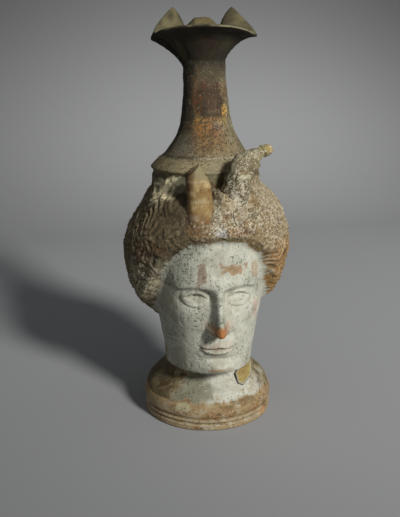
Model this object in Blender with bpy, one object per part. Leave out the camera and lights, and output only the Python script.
"""Head-shaped oinochoe: one fired clay vessel, with a spreading foot, a horned head, a flared neck,
a trefoil mouth and a strap handle behind. Metres, +Z up, standing on z = 0, the face towards -Y."""

import math

import bmesh
import bpy
import numpy as np
from mathutils import Vector

# Heights of the stacked parts
FOOT_HEIGHT = 0.031
MOULDING_HEIGHT = 0.0159
HEAD_HEIGHT = 0.106
COLLAR_HEIGHT = 0.0135
NECK_HEIGHT = 0.0505
MOUTH_HEIGHT = 0.0170

# Radii and widths
FOOT_RADIUS = 0.0373
DOME_RADIUS = 0.0374
THROAT_RADIUS = 0.0246
HEAD_WIDTH = 0.0940
HEAD_DEPTH = 0.0960
CROWN_RADIUS = 0.0300
COLLAR_RADIUS = 0.0307
COLLAR_TOP_RADIUS = 0.0246
NECK_RADIUS = 0.0116
MOUTH_WIDTH = 0.0540
PINCH_RADIUS = 0.0161
PEAK_RISE = 0.0096

# Degrees from the middle of the front lobe to each pinch of the lip
PINCH_AT = 97

# How much lower than its pair the side lobe at -X starts from the neck
LOBE_DROP = 0.0070

# Walls
WALL = 0.0050
NECK_WALL = 0.0034
LIP_THICKNESS = 0.0020
FLOOR_THICKNESS = 0.0060

# Handle, horns and ear pendant
HANDLE_WIDTH = 0.0165
HANDLE_THICKNESS = 0.0075
HANDLE_REACH = 0.0440
HANDLE_RISE = 0.0030
HANDLE_OFFSET = 0.0018
HANDLE_LANDING = 0.0157
HORN_RADIUS = 0.0064
HORN_SPREAD = 0.0088
HORN_ROOT_HEIGHT = 0.0200
PENDANT_LENGTH = 0.0168
PENDANT_THICKNESS = 0.0020
PENDANT_ANGLE = math.radians(41)
PENDANT_FACING = math.radians(16)
PENDANT_TILT = math.radians(32)

# The face: hairline to brow, brow to nose base and nose base to chin are equal thirds
FACE_HEIGHT = 0.0770
CHIN_DROP = 0.0035

# The neck leans, and the mouth was set on a few degrees off the face
NECK_LEAN = 0.0010
MOUTH_TURN = math.radians(-4.0)

# Grid of the skin: columns round the vessel, closer together over the face, and half as many inside
COLUMNS = 58
FRONT_CROWDING = 0.52

HEAD_BASE = FOOT_HEIGHT
CROWN = HEAD_BASE + HEAD_HEIGHT
COLLAR_TOP = CROWN + COLLAR_HEIGHT
NECK_TOP = COLLAR_TOP + NECK_HEIGHT
LIP = NECK_TOP + MOUTH_HEIGHT
CHIN = HEAD_BASE + CHIN_DROP
THIRD = FACE_HEIGHT / 3
NOSE_BASE = CHIN + THIRD

# Reach of the head's level sections to the sides, front and back, as shares of its half width and half
# depth, against the share of its height: first the bare skull and neck, then the hair over them
SKIN_SIDE = ((0, 0.52), (0.09, 0.535), (0.18, 0.57), (0.28, 0.61), (0.38, 0.65), (0.5, 0.68), (0.7, 0.71),
             (0.85, 0.68), (1, 0.62))
SKIN_FRONT = ((0, 0.52), (0.03, 0.74), (0.05, 0.81), (0.1, 0.84), (0.3, 0.855), (0.45, 0.87), (0.58, 0.91),
              (0.7, 0.905), (0.8, 0.86), (0.9, 0.75), (1, 0.6))
SKIN_BACK = ((0, 0.52), (0.2, 0.56), (0.4, 0.7), (0.6, 0.8), (0.8, 0.78), (1, 0.6))
HAIR_SIDE = ((0.1, 0.6), (0.25, 0.7), (0.33, 0.79), (0.42, 0.9), (0.53, 0.98), (0.64, 1.0), (0.74, 0.97),
             (0.82, 0.88), (0.9, 0.76), (1, 0.63))
HAIR_FRONT = ((0.1, 0.7), (0.4, 0.84), (0.6, 0.9), (0.7, 0.965), (0.78, 0.97), (0.86, 0.89), (0.93, 0.77),
              (1, 0.62))
HAIR_BACK = ((0.1, 0.62), (0.22, 0.86), (0.32, 0.99), (0.42, 1.0), (0.52, 0.95), (0.62, 0.97), (0.74, 0.93),
             (0.86, 0.81), (0.94, 0.7), (1, 0.62))

# The roll of hair in front that the bent horn stands on
HORN_ROLL = ((0.8, 0.948), (0.9, 0.917), (0.94, 0.90), (0.97, 0.865), (0.985, 0.823))

# Height of the hair's edge above the chin, in face heights, against degrees from the front
HAIR_EDGE = ((0, 0.985), (16, 0.965), (28, 0.90), (38, 0.80), (46, 0.68), (54, 0.57), (64, 0.48),
             (80, 0.39), (105, 0.28), (130, 0.19), (180, 0.13))
HAIR_EDGE_WIDTH = 0.0065

# Nose: how far it stands out and its half width, in thirds, against thirds above the nose base
NOSE_OUT = ((-0.05, 0), (-0.01, 0.05), (0.03, 0.30), (0.10, 0.385), (0.18, 0.39), (0.3, 0.35), (0.55, 0.25),
            (0.8, 0.16), (1.0, 0.08), (1.25, 0))
NOSE_HALF_WIDTH = ((0, 0.15), (0.12, 0.165), (0.3, 0.14), (0.6, 0.115), (0.9, 0.12), (1.2, 0.2))

# Shares of the head's height at which its rows lie, closer together over the features
HEAD_ROWS = (0, 0.03, 0.045, 0.07, 0.10, 0.13, 0.155, 0.18, 0.20, 0.225, 0.25, 0.27, 0.285, 0.305, 0.335,
             0.37, 0.41, 0.445, 0.475, 0.51, 0.545, 0.59, 0.635, 0.675, 0.71, 0.75, 0.79, 0.835, 0.88, 0.92,
             0.955, 0.985)
CAVITY_ROWS = (0.94, 0.86, 0.75, 0.62, 0.48, 0.34, 0.22, 0.13, 0.05)


def through(knots, at):
    """Smooth curve through (position, value) knots, with no overshoot."""
    x, y = np.array(knots, float).T
    step = np.diff(x)
    slope = np.diff(y) / step
    tangent = np.zeros_like(x)
    same_way = slope[1:] * slope[:-1] > 0
    total = np.where(same_way, slope[1:] + slope[:-1], 1)
    tangent[1:-1] = np.where(same_way, 2 * slope[1:] * slope[:-1] / total, 0)
    tangent[0], tangent[-1] = slope[0], slope[-1]
    at = np.clip(at, x[0], x[-1])
    i = np.clip(np.searchsorted(x, at, side="right") - 1, 0, len(step) - 1)
    t = (at - x[i]) / step[i]
    start = (1 + 2 * t) * (1 - t) ** 2 * y[i] + t * (1 - t) ** 2 * step[i] * tangent[i]
    end = t * t * (3 - 2 * t) * y[i + 1] + t * t * (t - 1) * step[i] * tangent[i + 1]
    return start + end


def eased(low, high, value):
    """0 below low, 1 above high, smooth in between."""
    t = np.clip((value - low) / (high - low), 0, 1)
    return t * t * (3 - 2 * t)


def bump(value, centre, spread):
    return np.exp(-(((value - centre) / spread) ** 2))


def oval(angle, side, front, back, fullness):
    """Radius of a level section with its own reach to the sides, the front and the back."""
    ahead = np.where(np.cos(angle) > 0, front, back)
    power = (np.abs(np.sin(angle)) / side) ** fullness + (np.abs(np.cos(angle)) / ahead) ** fullness
    return power ** (-1 / fullness)


def skin_section(angle, share):
    half_width, half_depth = HEAD_WIDTH / 2, HEAD_DEPTH / 2
    return oval(angle, half_width * through(SKIN_SIDE, share), half_depth * through(SKIN_FRONT, share),
                half_depth * through(SKIN_BACK, share), 2.25)


def hair_section(angle, share):
    half_width, half_depth = HEAD_WIDTH / 2, HEAD_DEPTH / 2
    return oval(angle, half_width * through(HAIR_SIDE, share), half_depth * through(HAIR_FRONT, share),
                half_depth * through(HAIR_BACK, share), 2.1)


def above_hair_edge(angle, z, radius):
    """Distance on the surface from the hair's edge, positive on the hair."""
    degrees = np.degrees(np.abs(angle))
    edge = CHIN + FACE_HEIGHT * through(HAIR_EDGE, degrees)
    further = CHIN + FACE_HEIGHT * through(HAIR_EDGE, degrees + 1)
    steepness = (edge - further) / (np.radians(1) * radius)
    return (z - edge) / np.sqrt(1 + steepness**2)


def face_relief(x, z):
    """How far the face stands out from the smooth head, towards the front."""
    u, v = np.abs(x) / THIRD, (z - NOSE_BASE) / THIRD
    half = through(NOSE_HALF_WIDTH, v)
    out = through(NOSE_OUT, v) * (np.exp(-((u / half) ** 2.4)) + 0.28 * bump(u, 0, 2.2 * half))
    out += 0.10 * bump(u, 0.19, 0.075) * bump(v, 0.09, 0.08)
    out -= 0.19 * bump(u, 0.43, 0.26) * bump(v, 0.80, 0.16)
    out += 0.05 * bump(u, 0.42, 0.3) * bump(v, 1.0, 0.09)
    out += 0.09 * np.sqrt(np.clip(1 - ((u - 0.46) / 0.27) ** 2 - ((v - 0.78) / 0.16) ** 2, 0, 1))
    out += 0.05 * bump(u, 0.70, 0.26) * bump(v, 0.35, 0.3)
    out += 0.06 * bump(u, 0, 0.42) * bump(v, -0.36, 0.22)
    out += 0.07 * bump(u, 0, 0.28) * bump(v, -0.25, 0.06)
    out += 0.09 * bump(u, 0, 0.24) * bump(v, -0.46, 0.065)
    out -= 0.05 * bump(u, 0, 0.32) * bump(v, -0.35, 0.035)
    out -= 0.06 * bump(u, 0, 0.28) * bump(v, -0.62, 0.06)
    out += 0.10 * bump(u, 0, 0.25) * bump(v, -0.82, 0.14)
    return THIRD * out


def around(angle, radius, z):
    """Points at an angle from the front, positive towards +X."""
    angle, radius, z = np.broadcast_arrays(angle, radius, z)
    return np.stack([radius * np.sin(angle), -radius * np.cos(angle), z], -1)


def leant(point):
    """The neck leans a little to the side, more towards the lip."""
    share = np.clip((point[..., 2] - COLLAR_TOP) / (LIP - COLLAR_TOP), 0, None)
    point[..., 0] -= NECK_LEAN * share**2
    return point


def hair_lift(angle, z):
    """0 on the bare face and neck, 1 on the hair."""
    skin = skin_section(angle, (z - HEAD_BASE) / HEAD_HEIGHT)
    return eased(-0.3 * HAIR_EDGE_WIDTH, HAIR_EDGE_WIDTH, above_hair_edge(angle, z, skin))


def head_radius(angle, z):
    """Radius of the head with its hair, before the features of the face; the hair is a little uneven."""
    share = (z - HEAD_BASE) / HEAD_HEIGHT
    degrees = np.degrees(angle)
    skin, hair = skin_section(angle, share), hair_section(angle, share)
    fuller = 0.0035 * bump(degrees, 75, 40) * bump(share, 0.9, 0.11)
    thinner = 0.0022 * bump(degrees, -80, 40) * bump(share, 0.85, 0.12)
    thinner = thinner + 0.0046 * bump(degrees, 85, 40) * bump(share, 0.36, 0.20)
    radius = skin + np.maximum(hair - skin + fuller - thinner, 0) * hair_lift(angle, z)
    radius = THROAT_RADIUS + (radius - THROAT_RADIUS) * eased(-0.02, 0.035, share)
    radius = CROWN_RADIUS + (radius - CROWN_RADIUS) * (1 - eased(0.93, 1, share))
    middle = eased(-8, 4, degrees)
    rolled = middle * (1 - eased(26, 46, degrees)) * (1 - eased(0.985, 1, share))
    rolled = rolled + 0.7 * (1 - middle) * eased(-48, -26, degrees) * (1 - eased(0.88, 0.96, share))
    rolled = rolled * eased(0.82, 0.9, share)
    return radius + np.maximum(HEAD_DEPTH / 2 * through(HORN_ROLL, share) - radius, 0) * rolled


def head_point(angle, z):
    point = around(angle, head_radius(angle, z), z)
    facing = eased(0.35, 0.7, np.cos(angle)) * (1 - hair_lift(angle, z))
    point[..., 1] -= face_relief(point[..., 0], z) * facing * eased(HEAD_BASE, HEAD_BASE + 0.004, z)
    return point


def cavity_point(angle, z):
    """The hollow of the head: a wall inside the narrowest section nearby, more behind the face."""
    nearby = [head_radius(angle, np.clip(z + step, HEAD_BASE, CROWN)) for step in (-0.005, 0, 0.005)]
    features = 0.12 * THIRD * eased(0.3, 0.7, np.cos(angle)) * eased(HEAD_BASE, HEAD_BASE + THIRD, z)
    radius = np.maximum(np.minimum.reduce(nearby) - WALL - features, THROAT_RADIUS - WALL)
    return around(angle, np.minimum(radius, nearby[1] - 0.9 * WALL), z)


def mouth_degrees(angle):
    """Degrees from the mouth's own front, positive towards +X."""
    return np.degrees((angle - MOUTH_TURN + math.pi) % (2 * math.pi) - math.pi)


def full_lobe(degrees):
    """1 on the side lobe at -X, which hangs lower and fuller than its pair."""
    return eased(58, 92, -degrees) * (1 - eased(128, 168, -degrees))


def lip_point(angle):
    """Radius and height of the trefoil lip: a front lobe, two side lobes and a raised pinch between."""
    degrees = mouth_degrees(angle)
    away = np.abs(degrees)
    corner, lobe = bump(degrees, -66, 15), bump(degrees, -114, 17)
    reach = through(((0, 0.96), (40, 1.0), (72, 1.065), (118, 1.1), (150, 0.95), (180, 0.84)), away)
    sag = through(((0, 0.0004), (25, 0.0008), (45, 0.0021), (60, 0.0040), (72, 0.0054), (118, 0.0046),
                   (150, 0.0020), (180, -0.0005)), away)
    sag = sag + LOBE_DROP * (0.4 * lobe - 0.2 * corner)
    open_lip = MOUTH_WIDTH / 2 * (reach + 0.1 * lobe - 0.07 * corner)
    radius = open_lip + (PINCH_RADIUS - open_lip) * bump(away, PINCH_AT, 12.5)
    return radius, LIP - sag + (PEAK_RISE + sag) * bump(away, PINCH_AT, 13.5)


def mouth_start(angle):
    """Height where the neck ends and the mouth begins to flare."""
    return NECK_TOP - LOBE_DROP * full_lobe(mouth_degrees(angle))


def mouth_section(angle, share):
    """Radius and height of the outside of the mouth, from the neck at share 0 to the lip at share 1.

    It flares like a trumpet, evenly under the full side lobe, and only near the tip at a pinch."""
    radius, height = lip_point(angle)
    degrees = mouth_degrees(angle)
    pinch = bump(np.abs(degrees), PINCH_AT, 16)
    lobe = full_lobe(degrees) * (1 - pinch)
    trumpet = 1 - pinch - lobe
    turn = share * math.pi / 2
    rise = trumpet * np.sin(turn) + (1 - trumpet) * share
    flare = trumpet * (0.36 * np.sin(turn) + 0.64 * (1 - np.cos(turn)))
    flare = flare + lobe * share**1.6 + pinch * (1.35 * share**5 - 0.35 * share)
    start = mouth_start(angle)
    return NECK_RADIUS + (radius - NECK_RADIUS) * flare, start + (height - start) * rise


def mouth_point(angle, share):
    return leant(around(angle, *mouth_section(angle, share)))


def mouth_hollow(angles, share, wall):
    """The inside of the mouth on all columns, a wall away from the ring of the outside at this share."""
    lower, upper = mouth_section(angles, share - 0.02), mouth_section(angles, share)
    run, climb = upper[0] - lower[0], upper[1] - lower[1]
    length = np.hypot(run, climb)
    level_wall = (wall * np.maximum(climb / length, 0.1))[:, None]
    ring = upper[0] * np.stack([np.sin(angles), np.cos(angles)])
    ring = np.concatenate([ring + (np.roll(ring, -1, 1) - ring) * step for step in np.arange(6) / 6], 1)
    along = np.outer(np.sin(angles), ring[0]) + np.outer(np.cos(angles), ring[1])
    beside = np.outer(np.cos(angles), ring[0]) - np.outer(np.sin(angles), ring[1])
    depth = np.sqrt(np.clip(level_wall**2 - beside**2, 0, None))
    near = (np.abs(beside) < level_wall) & (along > 0)
    radius = np.where(near, along - depth, MOUTH_WIDTH).min(1)
    return leant(around(angles, radius, upper[1] + wall * run / length))


def neck_point(angle, share):
    widening = through(((0, 1), (0.05, 0.815), (0.12, 0.646), (0.26, 0.354), (0.39, 0.192), (0.62, 0.073),
                        (0.84, 0), (1, 0)), share)
    radius = NECK_RADIUS + (COLLAR_TOP_RADIUS - NECK_RADIUS) * widening
    return leant(around(angle, radius, COLLAR_TOP + (mouth_start(angle) - COLLAR_TOP) * share))


def inside_of(surface, angle, share, wall):
    """A point the wall's thickness behind an outer surface, along its normal."""
    small = 1e-3
    across = surface(angle + small, share) - surface(angle - small, share)
    upward = surface(angle, min(share + small, 1)) - surface(angle, max(share - small, 0))
    normal = np.cross(across, np.broadcast_to(upward, across.shape))
    normal /= np.linalg.norm(normal, axis=-1, keepdims=True)
    return surface(angle, share) - wall * normal


def foot_profile():
    """(radius, height) up the foot: the band it stands on, a bead, a cushion, and the dome."""
    edge, dome = FOOT_RADIUS, DOME_RADIUS
    rows = [(edge - 0.0010, 0), (edge, 0.0007), (edge, 0.0034), (edge - 0.0009, 0.0043), (edge, 0.0056),
            (edge - 0.0009, 0.0070), (dome - 0.0002, 0.0086), (dome, 0.0120), (dome - 0.0008, 0.0150)]
    for share, spread in ((0, 0.9), (0.17, 0.82), (0.34, 0.66), (0.52, 0.43), (0.7, 0.2), (0.86, 0.07)):
        height = MOULDING_HEIGHT + (FOOT_HEIGHT - MOULDING_HEIGHT) * share
        rows.append((THROAT_RADIUS + (dome - THROAT_RADIUS) * spread, height))
    return rows


def outer_rows():
    angles = column_angles(COLUMNS)
    rows = [around(angles, radius, height) for radius, height in foot_profile()]
    rows += [head_point(angles, HEAD_BASE + HEAD_HEIGHT * share) for share in HEAD_ROWS]
    rows.append(around(angles, COLLAR_RADIUS - 0.0010, CROWN + 0.3 * COLLAR_HEIGHT))
    rows.append(around(angles, COLLAR_RADIUS, CROWN + 0.6 * COLLAR_HEIGHT))
    rows += [neck_point(angles, share) for share in (0, 0.08, 0.2, 0.38, 0.62, 0.85)]
    rows += [mouth_point(angles, share) for share in (0, 0.3, 0.5, 0.68, 0.84, 0.98)]
    return rows


def column_angles(count):
    even = np.arange(count) * 2 * math.pi / count
    angles = even - FRONT_CROWDING * np.sin(even)
    return np.where(angles > math.pi, angles - 2 * math.pi, angles)


def rim_rows():
    """The rounded lip and the inside of the mouth, on all columns."""
    angles = column_angles(COLUMNS)
    ahead = mouth_point(angles, 1) - mouth_point(angles, 0.98)
    ahead /= np.linalg.norm(ahead, axis=-1, keepdims=True)
    middle = (mouth_point(angles, 1) + mouth_hollow(angles, 1, LIP_THICKNESS)) / 2
    rows = [middle + 0.4 * LIP_THICKNESS * ahead]
    for share in (0.96, 0.78, 0.55, 0.3):
        rows.append(mouth_hollow(angles, share, LIP_THICKNESS + (NECK_WALL - LIP_THICKNESS) * (1 - share)))
    return rows


def inner_rows():
    """From the top of the neck down to the floor, on half as many columns."""
    angles = column_angles(COLUMNS)[::2]
    rows = [inside_of(neck_point, angles, share, NECK_WALL) for share in (0.97, 0.6, 0.3, 0.12)]
    rows.append(around(angles, CROWN_RADIUS - WALL - 0.001, CROWN + 0.2 * COLLAR_HEIGHT))
    rows += [cavity_point(angles, HEAD_BASE + HEAD_HEIGHT * share) for share in CAVITY_ROWS]
    rows.append(around(angles, THROAT_RADIUS - WALL + 0.002, HEAD_BASE - 0.004))
    rows.append(around(angles, DOME_RADIUS - WALL - 0.003, HEAD_BASE - 0.012))
    rows.append(around(angles, DOME_RADIUS - WALL - 0.002, FLOOR_THICKNESS + 0.005))
    rows.append(around(angles, FOOT_RADIUS - WALL - 0.004, FLOOR_THICKNESS))
    return rows


def skin_mesh(name):
    """The whole vessel wall as one closed skin: up the outside, over the lip, down the inside."""
    work = bmesh.new()
    outside = [[work.verts.new(point) for point in row] for row in outer_rows()]
    outside += [[work.verts.new(point) for point in row] for row in rim_rows()]
    inside = [[work.verts.new(point) for point in row] for row in inner_rows()]
    for lower, upper in zip(outside, outside[1:]):
        band(work, lower, upper)
    for lower, upper in zip(inside, inside[1:]):
        band(work, lower, upper)
    fine, coarse = outside[-1], inside[0]
    for i, vert in enumerate(coarse):
        here, half, after = fine[2 * i], fine[2 * i + 1], fine[(2 * i + 2) % COLUMNS]
        beside = coarse[(i + 1) % len(coarse)]
        work.faces.new((here, half, vert))
        work.faces.new((half, beside, vert))
        work.faces.new((half, after, beside))
    work.faces.new(outside[0][::-1])
    work.faces.new(inside[-1])
    mesh = bpy.data.meshes.new(name)
    work.to_mesh(mesh)
    work.free()
    return mesh


def band(work, lower, upper):
    count = len(lower)
    for i in range(count):
        j = (i + 1) % count
        work.faces.new((lower[i], lower[j], upper[j], upper[i]))


def swept_mesh(name, spine, sides, radii, corners):
    """A closed limb through spine points; radii holds each section's (sideways, thickness) half sizes."""
    work = bmesh.new()
    rings = []
    for i, centre in enumerate(spine):
        ahead = Vector(spine[min(i + 1, len(spine) - 1)]) - Vector(spine[max(i - 1, 0)])
        side = Vector(sides[i] if isinstance(sides, list) else sides).normalized()
        upward = ahead.normalized().cross(side).normalized()
        side = upward.cross(ahead.normalized())
        wide, thick = radii[i]
        ring = []
        for k in range(corners):
            turn = 2 * math.pi * k / corners
            across = math.copysign(abs(math.cos(turn)) ** 0.85, math.cos(turn)) * wide
            through_it = math.copysign(abs(math.sin(turn)) ** 0.85, math.sin(turn)) * thick
            ring.append(work.verts.new(Vector(centre) + side * across + upward * through_it))
        rings.append(ring)
    for lower, upper in zip(rings, rings[1:]):
        band(work, lower, upper)
    work.faces.new(rings[0][::-1])
    work.faces.new(rings[-1])
    bmesh.ops.recalc_face_normals(work, faces=work.faces)
    mesh = bpy.data.meshes.new(name)
    work.to_mesh(mesh)
    work.free()
    return mesh


def behind_mouth(back, height):
    """A point of the handle's plane, which turns with the mouth."""
    sideways = HANDLE_OFFSET - back * math.sin(MOUTH_TURN)
    return tuple(leant(np.array([sideways, back * math.cos(MOUTH_TURN), height])))


def handle_mesh():
    """A flat strap: out of the back lip, over a low crest, down behind the neck and into the nape."""
    behind = math.pi + MOUTH_TURN
    lip = float(lip_point(np.array(behind))[0])
    crest, foot = LIP + HANDLE_RISE, CROWN - HANDLE_LANDING
    landing = float(head_radius(np.array(behind), foot)) - 0.6 * WALL
    # (share of the way out, drop below the crest, thickness), then (share of the way down, share of the way
    # back in, width, thickness)
    over = ((-0.07, 0.0030, 0.6), (0.05, 0.0006, 0.8), (0.23, 0, 1), (0.46, 0.0003, 1), (0.68, 0.0035, 1),
            (0.90, 0.0110, 1))
    down = ((0.22, 0, 0.97, 1), (0.35, 0, 0.95, 1), (0.48, 0.07, 0.95, 1), (0.61, 0.16, 0.97, 1),
            (0.73, 0.28, 1, 1), (0.83, 0.42, 1.08, 1), (0.92, 0.65, 1.2, 1.1), (1, 1, 1.3, 1.2))
    spine, radii = [], []
    for out, drop, thick in over:
        spine.append(behind_mouth(lip + (HANDLE_REACH - lip) * out, crest - drop))
        radii.append((HANDLE_WIDTH / 2, HANDLE_THICKNESS / 2 * thick))
    for share, inward, wide, thick in down:
        back = HANDLE_REACH + (landing - HANDLE_REACH) * inward
        spine.append(behind_mouth(back, crest + (foot - crest) * share))
        radii.append((HANDLE_WIDTH / 2 * wide, HANDLE_THICKNESS / 2 * thick))
    return swept_mesh("handle", spine, (math.cos(MOUTH_TURN), math.sin(MOUTH_TURN), 0), radii, 12)


def horn_mesh(name, side, limb_sides, places):
    """A horn that grows out of the hair's front and ends before the collar.

    Each place is (towards +X, forward, above the crown) in millimetres and a thickness; forward is measured
    from the head's front at the root and from the collar above the crown."""
    spine, radii = [], []
    for across, forward, rise, thick in places:
        share = min(max(1 + rise / 1000 / HORN_ROOT_HEIGHT, 0), 1)
        front = HEAD_DEPTH / 2 + (COLLAR_RADIUS - HEAD_DEPTH / 2) * share
        spine.append((side * HORN_SPREAD + across / 1000, -(front + forward / 1000), CROWN + rise / 1000))
        radii.append((HORN_RADIUS * thick, HORN_RADIUS * thick))
    return swept_mesh(name, spine, limb_sides, radii, 12)


def whole_horn_mesh():
    """A cone that leans back on the collar."""
    return horn_mesh("whole horn", -1, (1, 0, 0), (
        (0.4, -14.0, -25.0, 0.72), (0.4, -11.6, -20.5, 0.83), (0.4, -6.7, -16.5, 0.92),
        (0.3, -2.5, -12.0, 0.95), (0.2, 1.0, -7.0, 0.98), (0, 3.7, -2.5, 0.99), (-0.2, 4.9, 0.6, 0.98),
        (-0.9, 4.3, 4.0, 0.94), (-1.4, 3.8, 7.0, 0.83), (-1.0, 3.4, 9.2, 0.64), (-0.4, 3.1, 11.2, 0.36),
        (0, 2.9, 12.5, 0.12)))


def bent_horn_mesh():
    """Its pair, bent outwards to a thin knobbed tip."""
    return horn_mesh("bent horn", 1, (0, 1, 0), (
        (1.4, -15.0, -20.0, 0.72), (1.4, -8.9, -15.5, 0.88), (1.4, -3.6, -10.5, 1), (1.5, 1.4, -5.0, 1.08),
        (2.1, 6.2, 2.0, 1.11), (3.8, 7.3, 8.6, 1.08), (6.7, 7.8, 13.4, 0.97), (10.0, 7.8, 16.2, 0.73),
        (13.4, 7.4, 18.0, 0.48), (14.8, 7.2, 18.6, 0.42), (15.8, 7.0, 19.0, 0.5), (17.8, 6.7, 19.8, 0.48),
        (19.5, 6.3, 20.4, 0.36), (20.2, 6.1, 20.7, 0.12)))


def pendant_mesh():
    """A long six-sided plaque lying on the dome of the foot under the jaw."""
    away = Vector((math.sin(PENDANT_ANGLE), -math.cos(PENDANT_ANGLE), 0))
    out = Vector((math.sin(PENDANT_FACING), -math.cos(PENDANT_FACING), 0))
    across = Vector((math.cos(PENDANT_FACING), math.sin(PENDANT_FACING), 0))
    normal = out * math.cos(PENDANT_TILT) + Vector((0, 0, math.sin(PENDANT_TILT)))
    down = across.cross(normal).normalized()
    if down.z > 0:
        down = -down
    centre = away * (THROAT_RADIUS + 0.0044) + Vector((0, 0, FOOT_HEIGHT - 0.0015))
    ring = ((0.238, -0.476), (-0.155, -0.173), (-0.411, 0.060), (-0.423, 0.423), (-0.238, 0.524),
            (0.137, 0.226), (0.256, -0.089))
    middle = [sum(corner[k] for corner in ring) / len(ring) for k in (0, 1)]
    work = bmesh.new()
    rings = []
    for level, size in ((-3.0, 1.0), (0.05, 1.0), (0.25, 0.9)):
        here = centre + normal * (level * PENDANT_THICKNESS)
        corners = [(middle[0] + (a - middle[0]) * size, middle[1] + (b - middle[1]) * size) for a, b in ring]
        rings.append([work.verts.new(here + (across * a + down * b) * PENDANT_LENGTH) for a, b in corners])
    for lower, upper in zip(rings, rings[1:]):
        band(work, lower, upper)
    work.faces.new(rings[0][::-1])
    work.faces.new(rings[-1])
    bmesh.ops.recalc_face_normals(work, faces=work.faces)
    mesh = bpy.data.meshes.new("pendant")
    work.to_mesh(mesh)
    work.free()
    return mesh


def join(vessel, mesh):
    """Weld one more closed solid onto the vessel."""
    other = shown(mesh.name, mesh)
    weld = vessel.modifiers.new("weld", "BOOLEAN")
    weld.operation, weld.solver, weld.object = "UNION", "EXACT", other
    bpy.context.view_layer.update()
    joined = bpy.data.meshes.new_from_object(vessel.evaluated_get(bpy.context.evaluated_depsgraph_get()))
    vessel.modifiers.clear()
    vessel.data = joined
    bpy.data.objects.remove(other)


def fired_clay():
    material = bpy.data.materials.new("fired clay with slip")
    material.use_nodes = True
    shader = material.node_tree.nodes["Principled BSDF"]
    shader.inputs["Base Color"].default_value = (0.42, 0.33, 0.22, 1)
    shader.inputs["Roughness"].default_value = 0.85
    shader.inputs["Metallic"].default_value = 0
    return material


def clear_scene():
    for obj in list(bpy.data.objects):
        bpy.data.objects.remove(obj)


def shown(name, mesh):
    obj = bpy.data.objects.new(name, mesh)
    bpy.context.scene.collection.objects.link(obj)
    return obj


def main():
    clear_scene()
    vessel = shown("oinochoe", skin_mesh("oinochoe"))
    for mesh in (handle_mesh(), whole_horn_mesh(), bent_horn_mesh(), pendant_mesh()):
        join(vessel, mesh)
    vessel.data.materials.clear()
    vessel.data.materials.append(fired_clay())
    for face in vessel.data.polygons:
        face.use_smooth = True


main()
